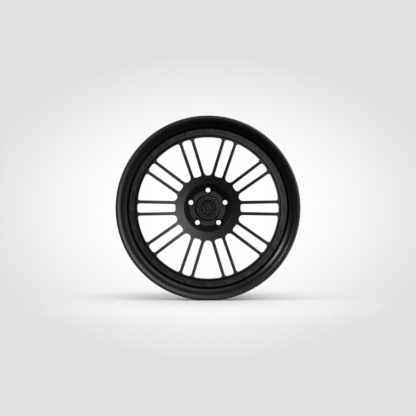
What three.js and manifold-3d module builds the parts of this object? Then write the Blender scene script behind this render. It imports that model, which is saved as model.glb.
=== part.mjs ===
// Forged multi-piece racing wheel rim, 22 inch, 5 x 120 mm stud circle.
//
// The wheel axis is Y and the origin is the middle of the rim. The outer face looks
// towards -Y, +Z is up. Radii are measured from the wheel axis. Depths are measured
// back from the plane of the outer lip. Every length is in millimetres.

import * as THREE from 'three';
import { mergeVertices } from 'three/addons/utils/BufferGeometryUtils.js';
import Module from 'manifold-3d';

const wasm = await Module();
wasm.setup();

// ---- Driving dimensions -----------------------------------------------------------

const RIM_WIDTH = 292;
const FLANGE_RADIUS = 299.1;
const BEAD_SEAT_RADIUS = 281.8;
const BEAD_SEAT_INNER_RADIUS = 280;
const HUMP_RADIUS = 281.1;
const GAP = 0.3;
const CUT_MARGIN = 2;
const CUT_OVERLAP = 0.01;

const RIM_SIDES = 48;
const DISC_SIDES = 48;
const CAP_SIDES = 24;
const SMALL_SIDES = 12;

// Stack of the three flanges that the assembly bolts clamp together.
const FACE_DEPTH = 50.5;
const DISC_FLANGE_BACK = 66;
const RIM_FLANGE_THICKNESS = 8;
const RIM_FLANGE_INNER_RADIUS = 240.5;
const LIP_FLANGE_FRONT = DISC_FLANGE_BACK + GAP;
const LIP_FLANGE_BACK = LIP_FLANGE_FRONT + RIM_FLANGE_THICKNESS;
const BARREL_FLANGE_FRONT = LIP_FLANGE_BACK + GAP;
const BARREL_FLANGE_BACK = BARREL_FLANGE_FRONT + RIM_FLANGE_THICKNESS;
const JOINT_RADIUS = 271;
const JOINT_CHAMFER = 4;

// Forged centre.
const DISC_RADIUS = 260;
const BEVEL_OUTER_RADIUS = 241.7;
const BEVEL_INNER_RADIUS = 233.5;
const RING_DEPTH = 46;
const CONCAVE_OUTER_RADIUS = 228;
const HUB_FACE_RADIUS = 108;
const HUB_FACE_DEPTH = 67.8;
const CONCAVE_STEPS = 4;
const RECESS_RADIUS = 80.4;
const RECESS_DEPTH = 77.8;
const PAD_RADIUS = 59.1;
const PAD_DEPTH = 106;
const MOUNTING_DEPTH = 128;
const MOUNTING_RADIUS = 80;
const BOSS_RADIUS = 38.4;
const BOSS_ROOT_RADIUS = 43.4;
const BOSS_DEPTH = 92;
const CAP_SEAT_RADIUS = 32.6;
const CAP_SEAT_DEPTH = 95;
const CAP_BORE_RADIUS = 29.7;
const HUB_BORE_RADIUS = 40.5;
const HUB_BORE_DEPTH = 108.5;
const SPOKE_BACK_DEPTH = 117;

// Spoke windows: ten narrow slots with ten wide openings between them.
const SPOKE_PAIRS = 10;
const WINDOW_OUTER_RADIUS = 232.2;
const OPENING_NOSE_CENTRE = 121.6;
const OPENING_NOSE_RADIUS = 14;
const OPENING_HALF_ANGLE = THREE.MathUtils.degToRad(17.1);
const OPENING_CORNER_RADIUS = 7.2;
const SLOT_INNER_END = 107.6;
const SLOT_INNER_HALF_WIDTH = 13;
const SLOT_HALF_ANGLE = THREE.MathUtils.degToRad(1.11);
const SLOT_INNER_CORNER = 7.2;
const SLOT_OUTER_CORNER = 8.2;

// Stud holes, with a lug well and a conical seat each.
const STUD_COUNT = 5;
const STUD_CIRCLE_RADIUS = 60;
const STUD_HOLE_RADIUS = 7.8;
const LUG_WELL_RADIUS = 13.4;
const LUG_SEAT_DEPTH = 8;
const BACK_POCKET_DEPTH = 9;
const BACK_POCKET_RADII = [50, 73];
const BACK_POCKET_HALF_ANGLE = THREE.MathUtils.degToRad(15);

// Assembly bolts: one under each raised pad of the centre's outer flange.
const BOLT_COUNT = 24;
const BOLT_CIRCLE_RADIUS = 254;
const BOLT_SIDES = 6;
const BOLT_SHANK_RADIUS = 3.9;
const BOLT_HOLE_RADIUS = 4.3;
const BOLT_HEAD_RADIUS = 5.5;
const BOLT_HEAD_HEIGHT = 8;
const BOLT_TIP_DEPTH = 55.4;
const BOLT_HOLE_END = 55;
const PAD_HALF_ANGLE = THREE.MathUtils.degToRad(2.5);
const PAD_INNER_RADIUS = 248;
const PAD_HEIGHT = 3;

// Centre cap, held in the cap bore by six sprung fingers.
const CAP_OUTER_RADIUS = 32.1;
const CAP_FLOOR_DEPTH = 94.4;
const CAP_PLATE_BACK = CAP_FLOOR_DEPTH - GAP;
const CAP_PLATE_RADIUS = 23.3;
const EMBLEM_SEAT_DEPTH = 93.2;
const EMBLEM_RADIUS = 11.8;
const FINGER_SLOTS = 3;
const FINGER_SLOT_SIZE = [80, 6, 2.4];
const FINGER_SLOT_DEPTH = 105;
const SPRING_RING_RADIUS = 23.2;
const SPRING_RING_DEPTH = 104.5;
const SPRING_WIRE_RADIUS = 0.9;
const SPRING_OPENING_SIZE = [12, 6, 5];

// Tyre valve in the well of the inner barrel. Its stations are radii from the wheel axis.
const VALVE_AZIMUTH = THREE.MathUtils.degToRad(306);
const VALVE_DEPTH = 114;
const WELL_OUTER_RADIUS = 264.5;
const WELL_INNER_RADIUS = 258.5;
const VALVE_HOLE_RADIUS = 5.8;
const VALVE_SEAT_RADIUS = 10.5;
const VALVE_SEAT_SINK = 0.5;
const VALVE_SEAT_CUT = 10;
const INNER_SEAT = WELL_INNER_RADIUS + VALVE_SEAT_SINK;
const OUTER_SEAT = WELL_OUTER_RADIUS - VALVE_SEAT_SINK;
const STEM_RADIUS = 4.1;
const STEM_BORE_RADIUS = 2;
const STEM_CLEARANCE_RADIUS = 4.5;
const STEM_TIP = 243.6;
const STEM_BASE = OUTER_SEAT + 3.6;
const STEM_BASE_RADIUS = 7.6;
const STEM_BASE_THICKNESS = 2;
const GROMMET_NECK_RADIUS = 5.4;
const GROMMET_FLANGE_RADIUS = 8.6;
const WASHER_RADIUS = 8.8;
const WASHER_THICKNESS = 1.4;
const NUT_CORNER_RADIUS = 8.2;
const NUT_BORE_RADIUS = 4.6;
const NUT_HEIGHT = 5;
const CORE_RADIUS = 1.7;
const CORE_BORE_RADIUS = 0.9;
const CORE_LENGTH = 17.6;
const PIN_RADIUS = 0.5;
const PIN_HEAD_RADIUS = 1.2;
const PIN_SIDES = 8;
const VALVE_CAP_RADIUS = 5.2;
const VALVE_CAP_BORE_RADIUS = 4.45;
const VALVE_CAP_ROOF = 1.5;
const VALVE_CAP_GRIP = 7;

// ---- Shape helpers ----------------------------------------------------------------

const yAt = (depth) => depth - RIM_WIDTH / 2;

// Twice the area that a closed outline of [radius, station] points goes round, with its sign.
function signedArea(outline) {
  let sum = 0;
  outline.forEach(([radius, station], index) => {
    const [nextRadius, nextStation] = outline[(index + 1) % outline.length];
    sum += radius * nextStation - nextRadius * station;
  });
  return sum;
}

// Revolve [radius, station] points about Y. Radii are to the middle of each flat, and a
// flat faces each of +X, -X, +Z and -Z. A ring's outline closes on itself; one that starts
// and ends on the axis makes a solid bar.
function revolve(outline, sides) {
  const ordered = signedArea(outline) > 0 ? outline : [...outline].reverse();
  const toCorner = 1 / Math.cos(Math.PI / sides);
  const points = ordered.map(([radius, station]) => new THREE.Vector2(radius * toCorner, station));
  const startsOnAxis = ordered.findIndex(([radius]) => radius === 0);
  if (startsOnAxis < 0) {
    points.push(points[0].clone());
  } else {
    while (points[0].x !== 0 || points[points.length - 1].x !== 0) {
      points.push(points.shift());
    }
  }
  return new THREE.LatheGeometry(points, sides, Math.PI / sides);
}

// A turned piece whose outline is given as [radius, depth] points.
function turned(outline, sides) {
  return revolve(outline.map(([radius, depth]) => [radius, yAt(depth)]), sides);
}

// A flat shape drawn in the plane of the wheel, extruded between two depths.
function plate(shape, frontDepth, backDepth, curveSegments = 6) {
  const depth = backDepth - frontDepth;
  const geometry = new THREE.ExtrudeGeometry(shape, { depth, bevelEnabled: false, curveSegments });
  geometry.rotateX(Math.PI / 2);
  geometry.translate(0, yAt(backDepth), 0);
  return geometry;
}

// A cylinder or cone along the wheel axis between two depths.
function rod(frontRadius, backRadius, frontDepth, backDepth, sides) {
  const outline = [
    [0, frontDepth],
    [frontRadius, frontDepth],
    [backRadius, backDepth],
    [0, backDepth],
  ];
  return turned(outline, sides);
}

// Move a geometry out along +X, then turn it to an azimuth counted from +X towards +Z.
function around(geometry, radius, azimuth) {
  geometry.translate(radius, 0, 0);
  geometry.rotateY(-azimuth);
  return geometry;
}

function toSolid(geometry) {
  const bare = geometry.clone();
  bare.deleteAttribute('normal');
  bare.deleteAttribute('uv');
  const merged = mergeVertices(bare, 1e-4);
  const vertProperties = new Float32Array(merged.attributes.position.array);
  const triVerts = new Uint32Array(merged.index.array);
  return new wasm.Manifold(new wasm.Mesh({ numProp: 3, vertProperties, triVerts }));
}

function toGeometry(solid) {
  const { vertProperties, triVerts } = solid.getMesh();
  const geometry = new THREE.BufferGeometry();
  geometry.setAttribute('position', new THREE.BufferAttribute(vertProperties, 3));
  geometry.setIndex(new THREE.BufferAttribute(triVerts, 1));
  geometry.computeVertexNormals();
  return geometry;
}

function cutAll(geometry, cutters) {
  let solid = toSolid(geometry);
  for (const cutter of cutters) {
    solid = solid.subtract(toSolid(cutter));
  }
  return toGeometry(solid);
}

const evenAzimuths = (count, first) => (
  Array.from({ length: count }, (_, index) => first + (index * 2 * Math.PI) / count)
);

// ---- Materials --------------------------------------------------------------------

const finish = (color, roughness, metalness) => (
  () => new THREE.MeshStandardMaterial({ color, roughness, metalness })
);
const satinBlack = finish(0x1d1d1e, 0.42, 0.75);
const capBlack = finish(0x201f1d, 0.5, 0.3);
const blackSteel = finish(0x2a2a2c, 0.35, 0.9);
const blackRubber = finish(0x141414, 0.85, 0);
const darkBrass = finish(0x8c7440, 0.35, 1);

// ---- Rim --------------------------------------------------------------------------

// Rounded edge of a rim flange, from its outer plane round to the bead seat.
const flangeEdge = [
  [295.4, 0],
  [298.6, 1.3],
  [FLANGE_RADIUS, 4.6],
  [298.2, 9.6],
  [294, 12.2],
  [BEAD_SEAT_RADIUS, 13.8],
];

// Outer rim half: rounded lip, stepped inner wall and the flange that the bolts clamp.
function outerLip() {
  const outline = [
    [RIM_FLANGE_INNER_RADIUS, LIP_FLANGE_FRONT],
    [261, LIP_FLANGE_FRONT],
    [265.6, LIP_FLANGE_FRONT - 4.4],
    [266.3, FACE_DEPTH],
    [275.5, 41.4],
    [275.9, 24],
    [278.3, 12.8],
    [283.6, 4.3],
    [290.8, 0.3],
    ...flangeEdge,
    [BEAD_SEAT_INNER_RADIUS, 34],
    [HUMP_RADIUS, 38],
    [279.6, 41.5],
    [JOINT_RADIUS, 54],
    [JOINT_RADIUS, LIP_FLANGE_BACK - JOINT_CHAMFER],
    [JOINT_RADIUS - JOINT_CHAMFER, LIP_FLANGE_BACK],
    [RIM_FLANGE_INNER_RADIUS, LIP_FLANGE_BACK],
  ];
  return cutAll(turned(outline, RIM_SIDES), boltHoles(LIP_FLANGE_FRONT, LIP_FLANGE_BACK));
}

// A bar along the valve's axis between two distances from the wheel axis.
function radialBar(radius, start, end) {
  const bar = new THREE.CylinderGeometry(radius, radius, end - start, SMALL_SIDES);
  bar.translate(0, (start + end) / 2, 0);
  return bar;
}

// Inner rim half: clamped flange, well, long inner wall, bead seat and rear flange.
function innerBarrel() {
  const outline = [
    [RIM_FLANGE_INNER_RADIUS, BARREL_FLANGE_FRONT],
    [JOINT_RADIUS - JOINT_CHAMFER, BARREL_FLANGE_FRONT],
    [JOINT_RADIUS, BARREL_FLANGE_FRONT + JOINT_CHAMFER],
    [JOINT_RADIUS, 85],
    [WELL_OUTER_RADIUS, 97],
    [WELL_OUTER_RADIUS, 131],
    [277, 149],
    [278.4, RIM_WIDTH - 40],
    [HUMP_RADIUS, RIM_WIDTH - 37],
    [BEAD_SEAT_INNER_RADIUS, RIM_WIDTH - 33],
    ...flangeEdge.map(([radius, depth]) => [radius, RIM_WIDTH - depth]).reverse(),
    [284, RIM_WIDTH],
    [275.6, RIM_WIDTH - 8],
    [273.4, RIM_WIDTH - 40],
    [271.8, 152],
    [WELL_INNER_RADIUS, 133],
    [WELL_INNER_RADIUS, 101],
    [261.8, 94],
    [261.8, BARREL_FLANGE_BACK],
    [RIM_FLANGE_INNER_RADIUS, BARREL_FLANGE_BACK],
  ];
  const cutters = boltHoles(BARREL_FLANGE_FRONT, BARREL_FLANGE_BACK);
  const valveCuts = [
    radialBar(VALVE_HOLE_RADIUS, WELL_INNER_RADIUS - CUT_MARGIN, WELL_OUTER_RADIUS + CUT_MARGIN),
    radialBar(VALVE_SEAT_RADIUS, INNER_SEAT - VALVE_SEAT_CUT, INNER_SEAT),
    radialBar(VALVE_SEAT_RADIUS, OUTER_SEAT, OUTER_SEAT + VALVE_SEAT_CUT),
  ];
  for (const cutter of valveCuts) {
    cutter.applyQuaternion(valveTurn());
    cutter.translate(0, yAt(VALVE_DEPTH), 0);
    cutters.push(cutter);
  }
  return cutAll(turned(outline, RIM_SIDES), cutters);
}

// Bead of sealant in the groove round the joint of the two rim halves.
function barrelSeal() {
  const middle = (LIP_FLANGE_BACK + BARREL_FLANGE_FRONT) / 2;
  const reach = JOINT_CHAMFER - 0.4;
  const outline = [
    [JOINT_RADIUS, middle - reach],
    [JOINT_RADIUS - reach, middle],
    [JOINT_RADIUS, middle + reach],
    [JOINT_RADIUS + 0.8, middle],
  ];
  return turned(outline, RIM_SIDES);
}

function boltHoles(frontDepth, backDepth) {
  const start = frontDepth - CUT_MARGIN;
  const end = backDepth + CUT_MARGIN;
  const hole = rod(BOLT_HOLE_RADIUS, BOLT_HOLE_RADIUS, start, end, BOLT_SIDES);
  return evenAzimuths(BOLT_COUNT, 0).map((azimuth) => around(hole.clone(), BOLT_CIRCLE_RADIUS, azimuth));
}

// Hexagon-headed bolt, entered from behind.
function assemblyBolt(azimuth) {
  const headFace = BARREL_FLANGE_BACK + GAP;
  const outline = [
    [0, BOLT_TIP_DEPTH],
    [BOLT_SHANK_RADIUS, BOLT_TIP_DEPTH],
    [BOLT_SHANK_RADIUS, headFace],
    [BOLT_HEAD_RADIUS, headFace],
    [BOLT_HEAD_RADIUS, headFace + BOLT_HEAD_HEIGHT],
    [0, headFace + BOLT_HEAD_HEIGHT],
  ];
  return around(turned(outline, BOLT_SIDES), BOLT_CIRCLE_RADIUS, azimuth);
}

// ---- Forged centre ----------------------------------------------------------------

// The concave front face falls from the ring to the hub face along a parabola.
function concaveDepth(radius) {
  const share = (CONCAVE_OUTER_RADIUS - radius) / (CONCAVE_OUTER_RADIUS - HUB_FACE_RADIUS);
  return RING_DEPTH + (HUB_FACE_DEPTH - RING_DEPTH) * share * share;
}

function discOutline() {
  const front = [];
  for (let step = 0; step <= CONCAVE_STEPS; step += 1) {
    const share = step / CONCAVE_STEPS;
    const radius = THREE.MathUtils.lerp(HUB_FACE_RADIUS, CONCAVE_OUTER_RADIUS, share);
    front.push([radius, concaveDepth(radius)]);
  }
  return [
    [CAP_BORE_RADIUS, CAP_SEAT_DEPTH],
    [CAP_SEAT_RADIUS, CAP_SEAT_DEPTH],
    [CAP_SEAT_RADIUS, BOSS_DEPTH],
    [BOSS_RADIUS, BOSS_DEPTH],
    [BOSS_ROOT_RADIUS, PAD_DEPTH],
    [PAD_RADIUS, PAD_DEPTH],
    [RECESS_RADIUS, RECESS_DEPTH],
    ...front,
    [BEVEL_INNER_RADIUS, RING_DEPTH],
    [BEVEL_OUTER_RADIUS, FACE_DEPTH],
    [DISC_RADIUS, FACE_DEPTH],
    [DISC_RADIUS, DISC_FLANGE_BACK],
    [CONCAVE_OUTER_RADIUS, DISC_FLANGE_BACK],
    [HUB_FACE_RADIUS, SPOKE_BACK_DEPTH],
    [MOUNTING_RADIUS + 4, SPOKE_BACK_DEPTH + 6],
    [MOUNTING_RADIUS, MOUNTING_DEPTH],
    [HUB_BORE_RADIUS, MOUNTING_DEPTH],
    [HUB_BORE_RADIUS, HUB_BORE_DEPTH],
    [CAP_BORE_RADIUS, HUB_BORE_DEPTH],
  ];
}

// Wide opening along +X: a round nose at the hub, straight flanks and an arc at the ring.
function openingShape() {
  const flankNormal = Math.PI / 2 + OPENING_HALF_ANGLE;
  const along = new THREE.Vector2(Math.cos(OPENING_HALF_ANGLE), Math.sin(OPENING_HALF_ANGLE));
  const start = new THREE.Vector2(Math.cos(flankNormal), Math.sin(flankNormal));
  start.multiplyScalar(OPENING_NOSE_RADIUS - OPENING_CORNER_RADIUS);
  start.x += OPENING_NOSE_CENTRE;
  const corner = cornerCentre(start, along, OPENING_CORNER_RADIUS);
  const cornerAngle = corner.angle();
  const shape = new THREE.Shape();
  shape.absarc(corner.x, corner.y, OPENING_CORNER_RADIUS, flankNormal, cornerAngle, true);
  shape.absarc(0, 0, WINDOW_OUTER_RADIUS, cornerAngle, -cornerAngle, true);
  shape.absarc(corner.x, -corner.y, OPENING_CORNER_RADIUS, -cornerAngle, -flankNormal, true);
  shape.absarc(OPENING_NOSE_CENTRE, 0, OPENING_NOSE_RADIUS, -flankNormal, flankNormal, true);
  return shape;
}

// Narrow slot along +X between the two spokes of a pair.
function slotShape() {
  const flankNormal = Math.PI / 2 + SLOT_HALF_ANGLE;
  const innerX = SLOT_INNER_END + SLOT_INNER_CORNER;
  const innerY = SLOT_INNER_HALF_WIDTH - SLOT_INNER_CORNER;
  const along = new THREE.Vector2(Math.cos(SLOT_HALF_ANGLE), Math.sin(SLOT_HALF_ANGLE));
  const start = new THREE.Vector2(innerX, SLOT_INNER_HALF_WIDTH - SLOT_OUTER_CORNER);
  const corner = cornerCentre(start, along, SLOT_OUTER_CORNER);
  const cornerAngle = corner.angle();
  const shape = new THREE.Shape();
  shape.absarc(corner.x, corner.y, SLOT_OUTER_CORNER, flankNormal, cornerAngle, true);
  shape.absarc(0, 0, WINDOW_OUTER_RADIUS, cornerAngle, -cornerAngle, true);
  shape.absarc(corner.x, -corner.y, SLOT_OUTER_CORNER, -cornerAngle, -flankNormal, true);
  shape.absarc(innerX, -innerY, SLOT_INNER_CORNER, -flankNormal, -Math.PI, true);
  shape.absarc(innerX, innerY, SLOT_INNER_CORNER, -Math.PI, flankNormal - 2 * Math.PI, true);
  return shape;
}

// Centre of a corner arc that touches a flank and the outer arc of a window.
function cornerCentre(start, along, cornerRadius) {
  const reach = WINDOW_OUTER_RADIUS - cornerRadius;
  const lead = start.dot(along);
  const travel = Math.sqrt(lead * lead - start.lengthSq() + reach * reach) - lead;
  return start.clone().addScaledVector(along, travel);
}

// Part of a ring between two azimuths.
function sectorShape(innerRadius, outerRadius, firstAngle, lastAngle) {
  const shape = new THREE.Shape();
  shape.absarc(0, 0, innerRadius, firstAngle, lastAngle, false);
  shape.absarc(0, 0, outerRadius, lastAngle, firstAngle, true);
  return shape;
}

function windowCutters() {
  const pitch = (2 * Math.PI) / SPOKE_PAIRS;
  const start = RING_DEPTH - CUT_MARGIN;
  const end = MOUNTING_DEPTH + CUT_MARGIN;
  return evenAzimuths(SPOKE_PAIRS, 0).flatMap((azimuth) => [
    around(plate(slotShape(), start, end, 2), 0, azimuth),
    around(plate(openingShape(), start, end, 4), 0, azimuth + pitch / 2),
  ]);
}

function studCutters() {
  const seatEnd = PAD_DEPTH + LUG_SEAT_DEPTH;
  const wellStart = RECESS_DEPTH - 2 * CUT_MARGIN;
  const pitch = (2 * Math.PI) / STUD_COUNT;
  const [pocketInner, pocketOuter] = BACK_POCKET_RADII;
  const halfAngle = BACK_POCKET_HALF_ANGLE;
  const pocketShape = sectorShape(pocketInner, pocketOuter, -halfAngle, halfAngle);
  const back = MOUNTING_DEPTH + CUT_MARGIN;
  const well = rod(LUG_WELL_RADIUS, LUG_WELL_RADIUS, wellStart, PAD_DEPTH, SMALL_SIDES);
  const seat = rod(LUG_WELL_RADIUS, STUD_HOLE_RADIUS, PAD_DEPTH - CUT_OVERLAP, seatEnd, SMALL_SIDES);
  const hole = rod(STUD_HOLE_RADIUS, STUD_HOLE_RADIUS, seatEnd - CUT_OVERLAP, back, SMALL_SIDES);
  const pocket = plate(pocketShape, MOUNTING_DEPTH - BACK_POCKET_DEPTH, back, 3);
  return evenAzimuths(STUD_COUNT, Math.PI / 2).flatMap((azimuth) => [
    around(well.clone(), STUD_CIRCLE_RADIUS, azimuth),
    around(seat.clone(), STUD_CIRCLE_RADIUS, azimuth),
    around(hole.clone(), STUD_CIRCLE_RADIUS, azimuth),
    around(pocket.clone(), 0, azimuth + pitch / 2),
  ]);
}

// Shallow pockets that leave one raised pad over each assembly bolt.
function flangePocketCutters() {
  const pitch = (2 * Math.PI) / BOLT_COUNT;
  const rim = DISC_RADIUS + CUT_MARGIN;
  const shape = sectorShape(PAD_INNER_RADIUS, rim, PAD_HALF_ANGLE, pitch - PAD_HALF_ANGLE);
  const pocket = plate(shape, FACE_DEPTH - CUT_MARGIN, FACE_DEPTH + PAD_HEIGHT, 2);
  return evenAzimuths(BOLT_COUNT, 0).map((azimuth) => around(pocket.clone(), 0, azimuth));
}

function wheelCentre() {
  const cutters = [
    ...windowCutters(),
    ...studCutters(),
    ...flangePocketCutters(),
    ...boltHoles(BOLT_HOLE_END + CUT_MARGIN, DISC_FLANGE_BACK),
  ];
  return cutAll(turned(discOutline(), DISC_SIDES), cutters);
}

// Spigot ring that fits the wheel's bore to the car's hub.
function hubRing() {
  const back = MOUNTING_DEPTH - 0.5;
  const outline = [
    [36.3, back - 13],
    [37.3, back - 14.5],
    [39, back - 14.5],
    [39.9, back - 13.5],
    [39.9, back],
    [37.8, back],
    [36.3, back - 1.5],
  ];
  return turned(outline, CAP_SIDES);
}

// ---- Centre cap -------------------------------------------------------------------

function centreCap() {
  const outline = [
    [0, CAP_FLOOR_DEPTH],
    [CAP_PLATE_RADIUS + 0.4, CAP_FLOOR_DEPTH],
    [CAP_PLATE_RADIUS + 0.4, 93.5],
    [26, 90.5],
    [27.4, 89.7],
    [30.4, 89.8],
    [CAP_OUTER_RADIUS, 91.6],
    [CAP_OUTER_RADIUS, CAP_SEAT_DEPTH - GAP],
    [28.8, CAP_SEAT_DEPTH - GAP],
    [28.8, 97.4],
    [27.4, 97.4],
    [27.4, 100],
    [28.8, 100],
    [29.3, 104],
    [28.4, 107],
    [24.6, 107],
    [24.6, 97],
    [0, 97],
  ];
  const slot = new THREE.BoxGeometry(...FINGER_SLOT_SIZE);
  slot.translate(0, yAt(FINGER_SLOT_DEPTH), 0);
  const cutters = evenAzimuths(2 * FINGER_SLOTS, 0).slice(0, FINGER_SLOTS);
  return cutAll(turned(outline, CAP_SIDES), cutters.map((azimuth) => around(slot.clone(), 0, azimuth)));
}

// Round inlay plate with one raised ring and a seat for the emblem.
function capInsert() {
  const outline = [
    [0, CAP_PLATE_BACK],
    [CAP_PLATE_RADIUS, CAP_PLATE_BACK],
    [CAP_PLATE_RADIUS, 93.6],
    [21.2, 91.4],
    [19.6, 90.9],
    [17.4, 91.1],
    [15.2, 93.1],
    [EMBLEM_RADIUS + 0.6, EMBLEM_SEAT_DEPTH],
    [0, EMBLEM_SEAT_DEPTH],
  ];
  return turned(outline, CAP_SIDES);
}

// Plain domed emblem plate.
function capEmblem() {
  const outline = [
    [0, EMBLEM_SEAT_DEPTH - GAP],
    [EMBLEM_RADIUS, EMBLEM_SEAT_DEPTH - GAP],
    [EMBLEM_RADIUS, 92],
    [10.4, 91.2],
    [0, 90.9],
  ];
  return turned(outline, CAP_SIDES);
}

// Wire ring that presses the fingers of the cap outwards. It is open at one side.
function capSpringRing() {
  const wire = SPRING_WIRE_RADIUS;
  const outline = [
    [SPRING_RING_RADIUS - wire, SPRING_RING_DEPTH - wire],
    [SPRING_RING_RADIUS + wire, SPRING_RING_DEPTH - wire],
    [SPRING_RING_RADIUS + wire, SPRING_RING_DEPTH + wire],
    [SPRING_RING_RADIUS - wire, SPRING_RING_DEPTH + wire],
  ];
  const opening = new THREE.BoxGeometry(...SPRING_OPENING_SIZE);
  opening.translate(SPRING_RING_RADIUS, yAt(SPRING_RING_DEPTH), 0);
  return cutAll(turned(outline, CAP_SIDES), [opening]);
}

function capORing() {
  const outline = [
    [27.7, 98],
    [28.3, 97.7],
    [29.3, 98.3],
    [29.3, 99.1],
    [28.3, 99.7],
    [27.7, 99.4],
  ];
  return turned(outline, CAP_SIDES);
}

// ---- Tyre valve -------------------------------------------------------------------

// The rotation that takes +Y to the valve's outward radial direction.
function valveTurn() {
  const outward = new THREE.Vector3(Math.cos(VALVE_AZIMUTH), 0, Math.sin(VALVE_AZIMUTH));
  return new THREE.Quaternion().setFromUnitVectors(new THREE.Vector3(0, 1, 0), outward);
}

// Rubber sleeve in the valve hole, with a flange under the base of the stem.
function valveGrommet() {
  return revolve([
    [STEM_CLEARANCE_RADIUS, INNER_SEAT + 0.4],
    [GROMMET_NECK_RADIUS, INNER_SEAT + 0.4],
    [GROMMET_NECK_RADIUS, OUTER_SEAT + GAP],
    [GROMMET_FLANGE_RADIUS, OUTER_SEAT + GAP],
    [GROMMET_FLANGE_RADIUS, STEM_BASE - GAP],
    [STEM_CLEARANCE_RADIUS, STEM_BASE - GAP],
  ], SMALL_SIDES);
}

function valveStem() {
  return revolve([
    [STEM_BORE_RADIUS, STEM_TIP],
    [STEM_RADIUS - 0.5, STEM_TIP],
    [STEM_RADIUS, STEM_TIP + 0.8],
    [STEM_RADIUS, STEM_BASE],
    [STEM_BASE_RADIUS, STEM_BASE],
    [STEM_BASE_RADIUS, STEM_BASE + STEM_BASE_THICKNESS],
    [STEM_BORE_RADIUS, STEM_BASE + STEM_BASE_THICKNESS],
  ], SMALL_SIDES);
}

function valveWasher() {
  const seat = INNER_SEAT - GAP;
  return revolve([
    [STEM_CLEARANCE_RADIUS, seat - WASHER_THICKNESS],
    [WASHER_RADIUS, seat - WASHER_THICKNESS],
    [WASHER_RADIUS, seat],
    [STEM_CLEARANCE_RADIUS, seat],
  ], SMALL_SIDES);
}

function valveNut() {
  const middle = INNER_SEAT - 2 * GAP - WASHER_THICKNESS - NUT_HEIGHT / 2;
  const boreLength = NUT_HEIGHT + 2 * CUT_MARGIN;
  const body = new THREE.CylinderGeometry(NUT_CORNER_RADIUS, NUT_CORNER_RADIUS, NUT_HEIGHT, BOLT_SIDES);
  body.translate(0, middle, 0);
  const bore = new THREE.CylinderGeometry(NUT_BORE_RADIUS, NUT_BORE_RADIUS, boreLength, SMALL_SIDES);
  bore.translate(0, middle, 0);
  return cutAll(body, [bore]);
}

function valveCore() {
  const start = STEM_TIP + 0.4;
  return revolve([
    [CORE_BORE_RADIUS, start],
    [CORE_RADIUS, start],
    [CORE_RADIUS, start + CORE_LENGTH],
    [CORE_BORE_RADIUS, start + CORE_LENGTH],
  ], SMALL_SIDES);
}

// Pin through the core. Its head closes the core's inner end.
function valvePin() {
  const start = STEM_TIP - 0.4;
  const head = STEM_TIP + 1 + CORE_LENGTH;
  return revolve([
    [0, start],
    [PIN_RADIUS, start],
    [PIN_RADIUS, head],
    [PIN_HEAD_RADIUS, head],
    [PIN_HEAD_RADIUS, head + 1.4],
    [0, head + 1.4],
  ], PIN_SIDES);
}

function valveCap() {
  const mouth = STEM_TIP + VALVE_CAP_GRIP;
  const roof = STEM_TIP - 1.2;
  return revolve([
    [0, roof - VALVE_CAP_ROOF],
    [VALVE_CAP_RADIUS - 1, roof - VALVE_CAP_ROOF],
    [VALVE_CAP_RADIUS, roof - VALVE_CAP_ROOF + 1],
    [VALVE_CAP_RADIUS, mouth],
    [VALVE_CAP_BORE_RADIUS, mouth],
    [VALVE_CAP_BORE_RADIUS, roof],
    [0, roof],
  ], SMALL_SIDES);
}

// ---- Assembly ---------------------------------------------------------------------

function named(name, geometry, material) {
  const mesh = new THREE.Mesh(geometry, material());
  mesh.name = name;
  return mesh;
}

const wheel = new THREE.Group();
wheel.add(named('outer_lip', outerLip(), satinBlack));
wheel.add(named('inner_barrel', innerBarrel(), satinBlack));
wheel.add(named('barrel_seal', barrelSeal(), blackRubber));
wheel.add(named('wheel_centre', wheelCentre(), satinBlack));
wheel.add(named('hub_ring', hubRing(), satinBlack));

evenAzimuths(BOLT_COUNT, 0).forEach((azimuth, index) => {
  const label = String(index + 1).padStart(2, '0');
  wheel.add(named(`assembly_bolt_${label}`, assemblyBolt(azimuth), blackSteel));
});

const cap = new THREE.Group();
cap.add(named('centre_cap', centreCap(), capBlack));
cap.add(named('cap_insert', capInsert(), capBlack));
cap.add(named('cap_emblem', capEmblem(), capBlack));
cap.add(named('cap_spring_ring', capSpringRing(), blackSteel));
cap.add(named('cap_o_ring', capORing(), blackRubber));
wheel.add(cap);

const valve = new THREE.Group();
valve.quaternion.copy(valveTurn());
valve.position.y = yAt(VALVE_DEPTH);
valve.add(named('valve_grommet', valveGrommet(), blackRubber));
valve.add(named('valve_stem', valveStem(), blackSteel));
valve.add(named('valve_washer', valveWasher(), blackSteel));
valve.add(named('valve_nut', valveNut(), blackSteel));
valve.add(named('valve_core', valveCore(), darkBrass));
valve.add(named('valve_pin', valvePin(), darkBrass));
valve.add(named('valve_cap', valveCap(), capBlack));
wheel.add(valve);

export default wheel;
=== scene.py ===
import math

import bmesh
import bpy
from mathutils import Matrix, Vector, geometry


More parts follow.
